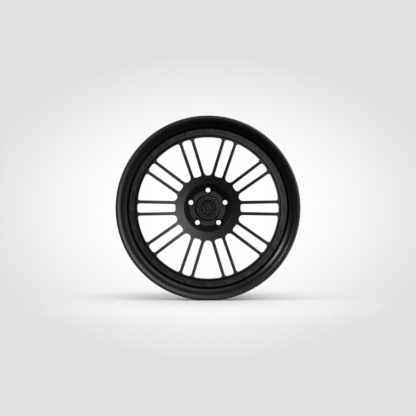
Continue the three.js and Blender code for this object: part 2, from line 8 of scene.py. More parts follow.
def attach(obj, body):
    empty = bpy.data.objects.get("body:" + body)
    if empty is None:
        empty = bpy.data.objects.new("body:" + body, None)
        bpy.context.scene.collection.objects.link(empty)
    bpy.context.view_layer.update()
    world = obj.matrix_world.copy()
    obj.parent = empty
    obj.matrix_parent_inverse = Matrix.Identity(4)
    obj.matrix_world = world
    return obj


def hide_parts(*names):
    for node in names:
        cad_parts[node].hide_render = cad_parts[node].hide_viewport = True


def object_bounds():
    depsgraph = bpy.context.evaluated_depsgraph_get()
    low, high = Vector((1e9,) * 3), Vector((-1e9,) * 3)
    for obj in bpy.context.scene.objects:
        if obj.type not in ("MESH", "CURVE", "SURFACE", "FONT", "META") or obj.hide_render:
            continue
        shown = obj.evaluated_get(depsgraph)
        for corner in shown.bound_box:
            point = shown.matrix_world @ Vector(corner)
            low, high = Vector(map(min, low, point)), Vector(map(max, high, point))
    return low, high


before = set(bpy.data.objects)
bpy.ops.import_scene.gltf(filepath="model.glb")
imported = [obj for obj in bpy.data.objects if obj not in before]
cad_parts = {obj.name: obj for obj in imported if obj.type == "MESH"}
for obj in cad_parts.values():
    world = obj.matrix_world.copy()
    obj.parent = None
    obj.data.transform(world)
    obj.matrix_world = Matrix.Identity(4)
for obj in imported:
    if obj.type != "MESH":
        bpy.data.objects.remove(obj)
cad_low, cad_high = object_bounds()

# Outlines are written in millimetres as (radius, depth) or (radius, depth, corner radius).
# Depth is measured back from the plane of the outer lip, which is the frame's lowest y.
MM = 0.001
FRONT_Y = cad_low.y
FLOOR_Z = cad_low.z
RIM_WIDTH = (cad_high.y - cad_low.y) / MM

CAMERA_DISTANCE = 3.10
CAMERA_WIDTH_AT_LIP = 1.3426
SENSOR = 36.0

# Rounded corners take one point per step, and at most this share of a side. Corners blunter
# than NEARLY_STRAIGHT aren't rounded. Edges sharper than SHARP_ANGLE (degrees) stay sharp.
ARC_STEP = math.radians(15)
CORNER_LIMIT = 0.45
NEARLY_STRAIGHT = math.radians(89)
SHARP_ANGLE = 34.0
# Vertices closer than this become one, in metres.
WELD = 2e-7


# ---- Materials ----------------------------------------------------------------------

# Noise scales per metre, and heights of the finest relief in metres.
PEEL_SCALE = 420.0
GRAIN_SCALE = 2600.0
TOOL_LINE_SCALE = 1400.0
PEEL_HEIGHT = 0.00004
TURNED_PEEL_HEIGHT = 0.00003
TOOL_LINE_HEIGHT = 0.00002
METAL_GRAIN_HEIGHT = 0.00002
RUBBER_GRAIN_HEIGHT = 0.00005


def shader_nodes(name):
    material = bpy.data.materials.new(name)
    material.use_nodes = True
    tree = material.node_tree
    return material, tree, tree.nodes["Principled BSDF"]


def texture_space(tree):
    return tree.nodes.new("ShaderNodeTexCoord").outputs["Object"]


def noise(tree, vector, scale, detail):
    node = tree.nodes.new("ShaderNodeTexNoise")
    node.inputs["Scale"].default_value = scale
    node.inputs["Detail"].default_value = detail
    node.inputs["Roughness"].default_value = 0.55
    tree.links.new(vector, node.inputs["Vector"])
    return node.outputs["Fac"]


def spread(tree, value, low, high, start=0.3, end=0.7):
    """Map a noise value from start..end to low..high."""
    node = tree.nodes.new("ShaderNodeMapRange")
    node.inputs["From Min"].default_value = start
    node.inputs["From Max"].default_value = end
    node.inputs["To Min"].default_value = low
    node.inputs["To Max"].default_value = high
    tree.links.new(value, node.inputs["Value"])
    return node.outputs["Result"]


def tint(tree, value, dark, light):
    node = tree.nodes.new("ShaderNodeMix")
    node.data_type = "RGBA"
    node.inputs[6].default_value = (*dark, 1)
    node.inputs[7].default_value = (*light, 1)
    tree.links.new(value, node.inputs[0])
    return node.outputs[2]


def bump(tree, height, distance, normal=None):
    node = tree.nodes.new("ShaderNodeBump")
    node.inputs["Distance"].default_value = distance
    node.inputs["Strength"].default_value = 1.0
    tree.links.new(height, node.inputs["Height"])
    if normal is not None:
        tree.links.new(normal, node.inputs["Normal"])
    return node.outputs["Normal"]


def vary(tree, shader, value, dark, light, rough_low, rough_high):
    """Let colour and roughness follow a noise value."""
    tree.links.new(tint(tree, value, dark, light), shader.inputs["Base Color"])
    tree.links.new(spread(tree, value, rough_low, rough_high), shader.inputs["Roughness"])


def powder_coat(name, *look, gloss=0.5):
    """Satin black powder coat: faint orange peel, fine grain and slow changes of gloss."""
    material, tree, shader = shader_nodes(name)
    space = texture_space(tree)
    vary(tree, shader, noise(tree, space, 9.0, 4.0), *look)
    peel = bump(tree, noise(tree, space, PEEL_SCALE, 2.0), PEEL_HEIGHT)
    grain = bump(tree, noise(tree, space, GRAIN_SCALE, 1.0), PEEL_HEIGHT / 4, peel)
    tree.links.new(grain, shader.inputs["Normal"])
    shader.inputs["Specular IOR Level"].default_value = gloss
    return material


def turned_coat(name, *look):
    """The same coat over a lathe-turned wall, whose fine tool lines run round the wheel."""
    material, tree, shader = shader_nodes(name)
    space = texture_space(tree)
    split = tree.nodes.new("ShaderNodeSeparateXYZ")
    tree.links.new(space, split.inputs["Vector"])
    lines = tree.nodes.new("ShaderNodeTexNoise")
    lines.noise_dimensions = "1D"
    lines.inputs["Scale"].default_value = TOOL_LINE_SCALE
    lines.inputs["Detail"].default_value = 2.0
    tree.links.new(split.outputs["Y"], lines.inputs["W"])
    vary(tree, shader, noise(tree, space, 7.0, 4.0), *look)
    tool_lines = bump(tree, lines.outputs["Fac"], TOOL_LINE_HEIGHT)
    peel = bump(tree, noise(tree, space, PEEL_SCALE, 2.0), TURNED_PEEL_HEIGHT, tool_lines)
    tree.links.new(peel, shader.inputs["Normal"])
    return material


def metal(name, *look):
    """Plated or blackened metal with a fine grain."""
    material, tree, shader = shader_nodes(name)
    space = texture_space(tree)
    vary(tree, shader, noise(tree, space, 60.0, 3.0), *look)
    grain = bump(tree, noise(tree, space, 1500.0, 2.0), METAL_GRAIN_HEIGHT)
    tree.links.new(grain, shader.inputs["Normal"])
    shader.inputs["Metallic"].default_value = 1.0
    return material


def rubber(name, *look):
    """Dull rubber with a coarse grain."""
    material, tree, shader = shader_nodes(name)
    fine = noise(tree, texture_space(tree), 900.0, 4.0)
    vary(tree, shader, fine, *look)
    tree.links.new(bump(tree, fine, RUBBER_GRAIN_HEIGHT), shader.inputs["Normal"])
    return material


# Each look is a dark and a light colour, and the lowest and highest roughness.
COAT = powder_coat(
    "satin_black_coat", (0.0075, 0.0075, 0.0078), (0.0095, 0.0095, 0.0098), 0.29, 0.34)
RIM_COAT = turned_coat(
    "satin_black_turned", (0.0085, 0.0085, 0.0088), (0.0105, 0.0105, 0.0108), 0.26, 0.31)
CAP_PLASTIC = powder_coat(
    "cap_black", (0.007, 0.007, 0.007), (0.009, 0.009, 0.0088), 0.38, 0.45, gloss=0.38)
CAP_PLATE = powder_coat(
    "cap_plate_black", (0.009, 0.0085, 0.007), (0.012, 0.0115, 0.009), 0.36, 0.44, gloss=0.26)
BLACK_STEEL = metal("black_oxide_steel", (0.035, 0.035, 0.037), (0.06, 0.06, 0.063), 0.32, 0.45)
SPRING_STEEL = metal("spring_steel", (0.42, 0.42, 0.43), (0.55, 0.55, 0.56), 0.22, 0.34)
BRASS = metal("valve_brass", (0.50, 0.36, 0.14), (0.62, 0.47, 0.21), 0.25, 0.38)
RUBBER = rubber("black_rubber", (0.012, 0.012, 0.012), (0.022, 0.022, 0.022), 0.7, 0.9)


# ---- Mesh helpers -------------------------------------------------------------------


def fillet(outline, closed=True):
    """Turn (x, y, corner radius) points into plain points, with an arc at each rounded corner."""
    count = len(outline)
    result = []
    for index, (x, y, *corner) in enumerate(outline):
        here = Vector((x, y))
        if not corner or (not closed and index in (0, count - 1)):
            result.append(here)
            continue
        back = Vector(outline[index - 1][:2]) - here
        ahead = Vector(outline[(index + 1) % count][:2]) - here
        half = back.angle(ahead) / 2
        if half > NEARLY_STRAIGHT:
            result.append(here)
            continue
        shorter = min(back.length, ahead.length)
        cut = min(corner[0] / math.tan(half), shorter * CORNER_LIMIT)
        back.normalize()
        ahead.normalize()
        centre = here + (back + ahead).normalized() * (cut / math.cos(half))
        first = here + back * cut - centre
        sweep = first.angle_signed(here + ahead * cut - centre)
        steps = max(2, math.ceil(abs(sweep) / ARC_STEP))
        for step in range(steps + 1):
            spoke = first.copy()
            spoke.rotate(Matrix.Rotation(-sweep * step / steps, 2))
            result.append(centre + spoke)
    return result


def full_turn(count):
    return [2 * math.pi * step / count for step in range(count)]


def smooth(mesh, sharp_angle):
    mesh.shade_smooth()
    mesh.set_sharp_from_angle(angle=math.radians(sharp_angle))


def finish_mesh(name, builder, material, sharp_angle=SHARP_ANGLE):
    """Weld, face outwards, smooth with sharp corners kept, and link the new object."""
    bmesh.ops.remove_doubles(builder, verts=builder.verts, dist=WELD)
    bmesh.ops.recalc_face_normals(builder, faces=builder.faces)
    mesh = bpy.data.meshes.new(name)
    builder.to_mesh(mesh)
    builder.free()
    smooth(mesh, sharp_angle)
    mesh.materials.append(material)
    piece = bpy.data.objects.new(name, mesh)
    bpy.context.scene.collection.objects.link(piece)
    return piece


def join_rings(builder, near, far):
    for index, corner in enumerate(near):
        after = (index + 1) % len(near)
        builder.faces.new((corner, near[after], far[after], far[index]))


def add_rows(builder, rows, columns, closed=False):
    """Add a surface about Y. Each row gives (radius, station) in metres at an angle."""
    rings = []
    for row in rows:
        ring = []
        for angle in full_turn(columns):
            radius, station = row(angle)
            ring.append(builder.verts.new((radius * math.cos(angle), station, radius * math.sin(angle))))
        rings.append(ring)
    for near, far in zip(rings, rings[1:]):
        join_rings(builder, near, far)
    if closed:
        join_rings(builder, rings[-1], rings[0])
    return rings


def turn(builder, outline, segments, closed=True):
    """Add a surface of revolution about Y. Outline points are (radius, station) in metres."""
    add_rows(builder, [round_row(*point) for point in outline], segments, closed)


def round_row(radius, station):
    return lambda angle: (radius, station)


def hexagon_row(flat, station, turned_off):
    """Row of a hexagon. Its corners are moved along the axis, as on a turned-off bolt head."""
    def row(angle):
        wave = (angle + math.pi / 6) % (math.pi / 3) - math.pi / 6
        reach = flat / math.cos(wave)
        return reach, station + turned_off * (reach - flat)
    return row


def in_depth(points):
    """Millimetre (radius, depth) points to metres in the frame."""
    return [(x * MM, FRONT_Y + y * MM) for x, y in points]


def in_radius(points):
    """Millimetre points along a radial axis to metres."""
    return [(x * MM, y * MM) for x, y in points]


def cut_away(piece, builder):
    """Subtract the closed shapes in a builder from a piece."""
    whole = piece.data
    cutter = finish_mesh("cutter", builder, whole.materials[0])
    modifier = piece.modifiers.new("holes", "BOOLEAN")
    modifier.operation = "DIFFERENCE"
    modifier.solver = "EXACT"
    modifier.object = cutter
    evaluated = piece.evaluated_get(bpy.context.evaluated_depsgraph_get())
    piece.data = bpy.data.meshes.new_from_object(evaluated)
    piece.modifiers.clear()
    spent = cutter.data
    bpy.data.objects.remove(cutter)
    bpy.data.meshes.remove(spent)
    bpy.data.meshes.remove(whole)
    piece.data.name = piece.name
    smooth(piece.data, SHARP_ANGLE)


def assign(piece, body, slot, *nodes):
    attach(piece, body)
    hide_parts(*nodes)


def turned_piece(node, outline, segments, material, body, slot, closed=True, cutters=()):
    """Piece turned about the wheel's axis, less its cutters."""
    builder = bmesh.new()
    turn(builder, in_depth(fillet(outline, closed)), segments, closed)
    piece = finish_mesh(f"{node}_visual", builder, material)
    for cutter in cutters:
        cut_away(piece, cutter)
    assign(piece, body, slot, node)


# ---- Rim halves ---------------------------------------------------------------------

RIM_SEGMENTS = 360
FLANGE_RADIUS = 299.1
RIM_FLANGE_RADIUS = 240.5
LIP_FLANGE_FRONT = 66.3
LIP_FLANGE_BACK = 74.3
BARREL_FLANGE_FRONT = 74.6
BARREL_FLANGE_BACK = 82.6

BOLT_COUNT = 24
BOLT_CIRCLE = 254.0
BOLT_HOLE = 4.3
HOLE_EDGE = 0.4

VALVE_AZIMUTH = math.radians(306)
VALVE_DEPTH = 114.0
VALVE_HOLE = 5.8
VALVE_SEAT = 10.5
SEAT_CUT = 4.0
INNER_SEAT = 259.0
OUTER_SEAT = 264.0


def round_wheel(azimuth, radius, depth):
    """Matrix that turns a shape about the wheel's axis after moving it out and back."""
    out = Matrix.Translation((radius * MM, FRONT_Y + depth * MM, 0))
    return Matrix.Rotation(-azimuth, 4, "Y") @ out


def bolt_hole_cutter(front, back, blind=False):
    """Rods on the bolt circle with a small countersink at each open end."""
    flare = BOLT_HOLE + 2 * HOLE_EDGE
    outline = [(0, front), (BOLT_HOLE, front)]
    if not blind:
        outline = [(0, front - HOLE_EDGE), (flare, front - HOLE_EDGE), (BOLT_HOLE, front + HOLE_EDGE)]
    outline += [(BOLT_HOLE, back - HOLE_EDGE), (flare, back + HOLE_EDGE), (0, back + HOLE_EDGE)]
    builder = bmesh.new()
    for azimuth in full_turn(BOLT_COUNT):
        first = len(builder.verts)
        turn(builder, in_radius(outline), 32, closed=False)
        builder.verts.ensure_lookup_table()
        place = round_wheel(azimuth, BOLT_CIRCLE, 0)
        bmesh.ops.transform(builder, matrix=place, verts=builder.verts[first:])
    return builder


def onto_valve_axis(builder):
    """Lay a shape built along Y on the valve's axis."""
    outward = Vector((math.cos(VALVE_AZIMUTH), 0, math.sin(VALVE_AZIMUTH)))
    lean = Vector((0, 1, 0)).rotation_difference(outward).to_matrix().to_4x4()
    shift = Matrix.Translation((0, FRONT_Y + VALVE_DEPTH * MM, 0))
    bmesh.ops.transform(builder, matrix=shift @ lean, verts=builder.verts)


def valve_hole_cutter():
    """Rod through the well with a flat seat turned at each side."""
    outline = [
        (0, INNER_SEAT - SEAT_CUT),
        (VALVE_SEAT, INNER_SEAT - SEAT_CUT),
        (VALVE_SEAT, INNER_SEAT),
        (VALVE_HOLE + HOLE_EDGE, INNER_SEAT),
        (VALVE_HOLE, INNER_SEAT + HOLE_EDGE),
        (VALVE_HOLE, OUTER_SEAT - HOLE_EDGE),
        (VALVE_HOLE + HOLE_EDGE, OUTER_SEAT),
        (VALVE_SEAT, OUTER_SEAT),
        (VALVE_SEAT, OUTER_SEAT + SEAT_CUT),
        (0, OUTER_SEAT + SEAT_CUT),
    ]
    builder = bmesh.new()
    turn(builder, in_radius(outline), 64, closed=False)
    onto_valve_axis(builder)
    return builder


def make_outer_lip():
    """Outer rim half: flange, sloping lip, stepped wall and the flange the bolts go through."""
    outline = [
        (RIM_FLANGE_RADIUS, LIP_FLANGE_FRONT, 0.5),
        (260.8, LIP_FLANGE_FRONT, 1.0),
        (265.6, LIP_FLANGE_FRONT - 4.6, 4.0),
        (266.2, 50.4, 2),
        (275.6, 41.6, 4),
        (275.9, 24, 5),
        (278.3, 12.8, 5),
        (283.6, 4.2, 5.0),
        (290.8, 0.3, 3.0),
        (295.4, 0.05, 2.0),
        (298.6, 1.3, 1.8),
        (FLANGE_RADIUS, 4.6, 2.0),
        (298.2, 9.6, 2.5),
        (294, 12.3, 3),
        (281.8, 14.0, 1.5),
        (280, 34, 2),
        (281.1, 38, 2),
        (279.6, 41.5, 3),
        (271, 54, 6),
        (271, LIP_FLANGE_BACK - 4, 0.5),
        (267, LIP_FLANGE_BACK, 0.5),
        (RIM_FLANGE_RADIUS, LIP_FLANGE_BACK, 0.5),
    ]
    cutters = [bolt_hole_cutter(LIP_FLANGE_FRONT, LIP_FLANGE_BACK)]
    turned_piece("outer_lip", outline, RIM_SEGMENTS, RIM_COAT, "wheel", "satin_black", cutters=cutters)


def make_inner_barrel():
    """Inner rim half: clamped flange, well, long wall, bead seat and rear flange."""
    back = RIM_WIDTH
    outline = [
        (RIM_FLANGE_RADIUS, BARREL_FLANGE_FRONT, 0.5),
        (267, BARREL_FLANGE_FRONT, 0.5),
        (271, BARREL_FLANGE_FRONT + 4, 0.5),
        (271, 85, 6),
        (264.5, 97, 8),
        (264.5, 131, 10),
        (277, 149, 8),
        (278.4, back - 40, 2),
        (281.1, back - 37, 2),
        (280, back - 33, 2),
        (281.8, back - 14.0, 1.5),
        (294, back - 12.3, 3),
        (298.2, back - 9.6, 2.5),
        (FLANGE_RADIUS, back - 4.6, 2.0),
        (298.6, back - 1.3, 1.8),
        (295.4, back - 0.05, 2.0),
        (284, back - 0.02, 2.5),
        (275.6, back - 8, 5),
        (273.4, back - 40, 10),
        (271.8, 152, 10),
        (258.5, 133, 10),
        (258.5, 101, 6),
        (261.8, 94, 4),
        (261.8, BARREL_FLANGE_BACK, 1.2),
        (RIM_FLANGE_RADIUS, BARREL_FLANGE_BACK, 0.5),
    ]
    cutters = [bolt_hole_cutter(BARREL_FLANGE_FRONT, BARREL_FLANGE_BACK), valve_hole_cutter()]
    turned_piece("inner_barrel", outline, RIM_SEGMENTS, RIM_COAT, "wheel", "satin_black", cutters=cutters)


def make_barrel_seal():
    middle = (LIP_FLANGE_BACK + BARREL_FLANGE_FRONT) / 2
    outline = [
        (271, middle - 3.6, 0.4),
        (267.4, middle, 0.4),
        (271, middle + 3.6, 0.4),
        (271.8, middle, 3),
    ]
    turned_piece("barrel_seal", outline, RIM_SEGMENTS, RUBBER, "wheel", "black_rubber")


# ---- Forged centre ------------------------------------------------------------------

# The centre is built from mirrored wedges. A wedge runs from the middle of an opening in line
# with a stud hole to the middle of one in line with a back pocket, with a slot between them.
WEDGE = math.radians(36)
WEDGE_COUNT = 10
FLANGE_COLUMNS = 720
INNER_COLUMNS = 24
OUTER_COLUMNS = FLANGE_COLUMNS // WEDGE_COUNT
FIRST_STUD = math.radians(90)

# Windows between the spokes: wide openings with a round nose, and slots within a pair.
WINDOW_OUTER = 232.2
NOSE_CENTRE = 121.6
NOSE_RADIUS = 14.0
OPENING_ANGLE = math.radians(17.1)
OPENING_CORNER = 7.2
SLOT_END = 107.6
SLOT_HALF_WIDTH = 13.0
SLOT_ANGLE = math.radians(1.11)
SLOT_INNER_CORNER = 7.2
SLOT_OUTER_CORNER = 8.2

# Rows of points round a rounded edge, as shares of its radius.
EDGE_ROWS = (0.0, 0.134, 0.5, 1.0, 1.6)
# Width beside those rows that is kept free of other points.
CLEARANCE = 0.9
# Triangles with less than this area (doubled, square millimetres) are left out.
SLIVER = 4e-4

STUD_COLUMNS = 24
STUD_CIRCLE = 60.0
STUD_HOLE = 7.8
LUG_WELL = 13.4
PAD_DEPTH = 106.0
LUG_SEAT_DEPTH = 8.0
MOUNTING_DEPTH = 128.0
HUB_BORE = 40.5
SPOKE_FRONT_EDGE = 1.5
SPOKE_BACK_EDGE = 1.2
WELL_EDGE = 0.9
STUD_BACK_EDGE = 0.8

BACK_POCKET_INNER = 50.0
BACK_POCKET_OUTER = 73.0
BACK_POCKET_HALF_ANGLE = math.radians(15)
BACK_POCKET_DEPTH = 9.0
BACK_POCKET_CORNER = 4.0

DISC_RADIUS = 260.0
FACE_DEPTH = 50.5
FLANGE_BACK = 66.0
FLANGE_START = 241.7
POCKET_DEPTH = 2.2
BOLT_HOLE_END = 55.0

# Columns beside a pad's middle: azimuth in degrees, and how far the pocket is down.
PAD_COLUMNS = {4: (2.25, 0.0), 5: (2.42, 0.06), 6: (2.58, 0.94), 7: (2.75, 1.0)}
# Rows of the flange: radius, depth, how far the pocket is down, and columns closed up or not.
FLANGE_ROWS = [
    (FLANGE_START, FACE_DEPTH, 0.0, False),
    (245.0, FACE_DEPTH, 0.0, False),
    (247.4, FACE_DEPTH, 0.0, True),
    (247.75, FACE_DEPTH, 0.06, True),
    (248.1, FACE_DEPTH, 0.94, True),
    (248.5, FACE_DEPTH, 1.0, True),
    (253.0, FACE_DEPTH, 1.0, True),
    (258.6, FACE_DEPTH, 1.0, True),
    (259.6, FACE_DEPTH + 0.3, 1.0, True),
    (DISC_RADIUS, FACE_DEPTH + 1.0, 1.0, True),
    (DISC_RADIUS, FLANGE_BACK - 0.8, 0.0, True),
    (DISC_RADIUS - 0.8, FLANGE_BACK, 0.0, False),
    (FLANGE_START, FLANGE_BACK, 0.0, False),
]

# Bore of the centre from the cap's seat to the mounting face.
BORE_OUTLINE = [
    (32.6, 92.4),
    (32.6, 94.8),
    (32.4, 95),
    (29.9, 95),
    (29.7, 95.2),
    (29.7, 108.3),
    (29.9, 108.5),
    (40.3, 108.5),
    (HUB_BORE, 108.7),
    (HUB_BORE, MOUNTING_DEPTH - 0.8),
]

RING_DEPTH = 46.0
HUB_FACE_RADIUS = 108.0
HUB_FACE_DEPTH = 67.8
CONCAVE_RADIUS = 228.0
CONCAVE_STEPS = 12


def front_profile():
    """Front face from the cap seat to the flange, radius always growing."""
    concave = []
    for step in range(CONCAVE_STEPS + 1):
        share = 1 - step / CONCAVE_STEPS
        radius = CONCAVE_RADIUS + (HUB_FACE_RADIUS - CONCAVE_RADIUS) * share
        concave.append((radius, RING_DEPTH + (HUB_FACE_DEPTH - RING_DEPTH) * share * share))
    points = [
        (32.6, 92.4),
        (33.0, 92.05),
        (33.4, 92.0),
        (38.4, 92.0, 1.0),
        (43.2, 105.9, 1.2),
        (59.1, 106.0, 2.0),
        (80.3, 78.0, 1.2),
        *concave,
        (233.5, RING_DEPTH, 2.5),
        (FLANGE_START, FACE_DEPTH),
    ]
    return fillet(points, closed=False)


def back_profile():
    """Back face from the bore to the flange."""
    points = [
        (HUB_BORE, MOUNTING_DEPTH - 0.8),
        (HUB_BORE + 0.8, MOUNTING_DEPTH),
        (80, MOUNTING_DEPTH, 1.2),
        (84, 123, 2.0),
        (HUB_FACE_RADIUS, 117, 6.0),
        (CONCAVE_RADIUS, FLANGE_BACK, 6.0),
        (FLANGE_START, FLANGE_BACK),
    ]
    return fillet(points, closed=False)


def height_on(profile, radius):
    """Depth of a profile at a radius."""
    for near, far in zip(profile, profile[1:]):
        if radius <= far.x:
            share = max(0.0, (radius - near.x) / (far.x - near.x))
            return near.y + (far.y - near.y) * share
    return profile[-1].y


def polar(radius, angle, centre=(0, 0)):
    return Vector((centre[0] + radius * math.cos(angle), centre[1] + radius * math.sin(angle)))


def unit(angle):
    return polar(1, angle)


def arc(centre, radius, first, last, pitch):
    """Points about a pitch apart on an arc, each with the angle of its normal."""
    count = max(2, math.ceil(abs(last - first) * max(radius, 1.0) / pitch))
    angles = [first + (last - first) * step / count for step in range(count + 1)]
    return [(polar(radius, angle, centre), angle) for angle in angles]


def corner_centre(start, along, corner):
    """Where a line meets the circle on which the centres of the outer corners lie."""
    reach = WINDOW_OUTER - corner
    lead = start.dot(along)
    return start + along * (math.sqrt(lead * lead - start.length_squared + reach * reach) - lead)


def window_half(nose_points, start, angle, corner):
    """Upper half of a window along +X, from the ring to the hub, as (point, normal) pairs."""
    normal = math.pi / 2 + angle
    along = unit(angle)
    middle = corner_centre(start, along, corner)
    lean = math.atan2(middle.y, middle.x)
    outer = arc((0, 0), WINDOW_OUTER, 0, lean, 2.0)
    round_corner = arc(middle, corner, lean, normal, 1.0)
    flank_start = round_corner[-1][0]
    flank_end = nose_points[0][0]
    length = (flank_end - flank_start).length
    steps = math.ceil(length / 3.0)
    flank = [(flank_start.lerp(flank_end, step / steps), normal) for step in range(1, steps)]
    chain = outer[:-1] + round_corner + flank + nose_points
    return [(point, unit(a)) for point, a in chain]


def opening_half():
    normal = math.pi / 2 + OPENING_ANGLE
    start = unit(normal) * (NOSE_RADIUS - OPENING_CORNER)
    start.x += NOSE_CENTRE
    nose = arc((NOSE_CENTRE, 0), NOSE_RADIUS, normal, math.pi, 1.2)
    return window_half(nose, start, OPENING_ANGLE, OPENING_CORNER)


def slot_half():
    normal = math.pi / 2 + SLOT_ANGLE
    corner = Vector((SLOT_END + SLOT_INNER_CORNER, SLOT_HALF_WIDTH - SLOT_INNER_CORNER))
    start = Vector((corner.x, SLOT_HALF_WIDTH - SLOT_OUTER_CORNER))
    nose = arc(corner, SLOT_INNER_CORNER, normal, math.pi, 1.0)
    nose += [(Vector((SLOT_END, corner.y * share)), math.pi) for share in (0.66, 0.33, 0.0)]
    return window_half(nose, start, SLOT_ANGLE, SLOT_OUTER_CORNER)


def circle_half(centre_x, radius, count):
    """Upper half circle round a point on the X axis. Normals point out of the hole."""
    angles = [math.pi * step / count for step in range(count + 1)]
    return [(polar(radius, angle, (centre_x, 0)), unit(angle)) for angle in angles]


def inside_ring(polygon, point):
    """Whether a point lies inside a closed polygon."""
    inside = False
    for near, far in zip(polygon, polygon[1:] + polygon[:1]):
        if (near.y > point.y) != (far.y > point.y):
            if point.x < near.x + (far.x - near.x) * (point.y - near.y) / (far.y - near.y):
                inside = not inside
    return inside


class WedgeFace:
    """One side of the centre within a wedge: rings and rows round the holes, joined by triangles."""

    def __init__(self, profile, direction):
        self.profile = profile
        self.direction = direction
        self.points = []
        self.heights = []
        self.edges = []
        self.voids = []
        self.holes = []

    def add(self, point, height):
        self.points.append(point)
        self.heights.append(height)
        return len(self.points) - 1

    def height(self, point, drop=0.0):
        return height_on(self.profile, point.length) + self.direction * drop

    def add_hole(self, chain, whole, edge, closed=False, floor=None):
        """Rows of points round a rounded edge. Returns the edge itself as solid points."""
        first_row = None
        for share in EDGE_ROWS:
            reach = edge * share
            inward = min(reach, edge)
            drop = edge - math.sqrt(edge * edge - (edge - inward) ** 2)
            row = []
            for point, normal in chain:
                spot = point + normal * reach
                height = self.height(spot, drop)
                row.append(self.add(spot, height if floor is None else min(height, floor)))
            self.edges += list(zip(row, row[1:]))
            if closed:
                self.edges.append((row[-1], row[0]))
            first_row = first_row or row
        self.holes.append([p for p, n in whole])
        self.voids.append([p + n * (edge * EDGE_ROWS[-1] + CLEARANCE) for p, n in whole])
        return [solid(self.points[i], self.heights[i]) for i in first_row]

    def add_rings(self, radii, spacing):
        """Rows of points round the wheel, broken where they would come near a hole's edge."""
        for radius in radii:
            count = max(INNER_COLUMNS, math.ceil(radius * WEDGE / spacing))
            if radius == radii[0]:
                count = INNER_COLUMNS
            if radius == radii[-1]:
                count = OUTER_COLUMNS
            previous = None
            for column in range(count + 1):
                angle = WEDGE * column / count
                spot = polar(radius, angle)
                if any(inside_ring(polygon, spot) for polygon in self.voids):
                    previous = None
                    continue
                index = self.add(spot, self.height(spot))
                if previous is not None:
                    self.edges.append((previous, index))
                previous = index

    def polygons(self):
        """Triangles of the wedge outside its holes, as solid points."""
        result = geometry.delaunay_2d_cdt(self.points, self.edges, [], 0, 1e-5)
        spots, _, faces, sources, _, _ = result
        solids = []
        for spot, source in zip(spots, sources):
            solids.append(solid(spot, self.heights[source[0]] if source else self.height(spot)))
        kept = []
        for face in faces:
            a, b, c = (spots[i] for i in face)
            if abs((b - a).cross(c - a)) < SLIVER:
                continue
            middle = (a + b + c) / 3
            within = 0 < math.atan2(middle.y, middle.x) < WEDGE
            if not within or middle.length < self.profile[0].x - 1e-3:
                continue
            if not any(inside_ring(polygon, middle) for polygon in self.holes):
                kept.append([solids[i] for i in face])
        return kept


def solid(point, depth):
    """A point of the wedge's plan at a depth, as a vertex in metres."""
    return Vector((point.x * MM, FRONT_Y + depth * MM, point.y * MM))


def mirrored(chain):
    return [(Vector((p.x, -p.y)), Vector((n.x, -n.y))) for p, n in chain]


def whole_of(half):
    return half + mirrored(reversed(half[1:-1]))


def rotated(chain, angle):
    spin = Matrix.Rotation(angle, 2)
    return [(spin @ p, spin @ n) for p, n in chain]


def lower_half(half, angle):
    """The mirror image of an upper half, turned to another azimuth."""
    return rotated(mirrored(half), angle)


def strip(near, far, levels=1, closed=False):
    """Quads between two rows of vertices."""
    faces = []
    rows = [[a.lerp(b, step / levels) for a, b in zip(near, far)] for step in range(levels + 1)]
    for low, high in zip(rows, rows[1:]):
        count = len(low) if closed else len(low) - 1
        for i in range(count):
            j = (i + 1) % len(low)
            faces.append([low[i], low[j], high[j], high[i]])
    return faces


def ring_radii(profile, longest):
    """The profile's own radii, with more between them where they lie far apart."""
    radii = []
    for near, far in zip(profile, profile[1:]):
        count = max(1, math.ceil((far.x - near.x) / longest))
        radii += [near.x + (far.x - near.x) * step / count for step in range(count)]
    return radii + [profile[-1].x]


def arc_row(radius, depth):
    angles = [WEDGE * column / INNER_COLUMNS for column in range(INNER_COLUMNS + 1)]
    return [solid(polar(radius, angle), depth) for angle in angles]


def circle_row(radius, depth):
    return [solid(point, depth) for point, _ in circle_half(STUD_CIRCLE, radius, STUD_COLUMNS)]


def back_pocket_half():
    """Upper outline of a lightening pocket behind the hub, from its outer arc to its inner arc."""
    corner = BACK_POCKET_CORNER
    outer_reach = BACK_POCKET_OUTER - corner
    inner_reach = BACK_POCKET_INNER + corner
    outer_lean = BACK_POCKET_HALF_ANGLE - math.asin(corner / outer_reach)
    inner_lean = BACK_POCKET_HALF_ANGLE - math.asin(corner / inner_reach)
    outer_centre = (outer_reach * math.cos(outer_lean), outer_reach * math.sin(outer_lean))
    inner_centre = (inner_reach * math.cos(inner_lean), inner_reach * math.sin(inner_lean))
    side = BACK_POCKET_HALF_ANGLE + math.pi / 2
    chain = arc((0, 0), BACK_POCKET_OUTER, 0, outer_lean, 2.0)[:-1]
    chain += arc(outer_centre, corner, outer_lean, side, 1.0)
    chain += arc(inner_centre, corner, side, inner_lean + math.pi, 1.0)
    inward = arc((0, 0), BACK_POCKET_INNER, inner_lean, 0, 2.0)[1:]
    return [(point, unit(a)) for point, a in chain] + [(point, -unit(a)) for point, a in inward]


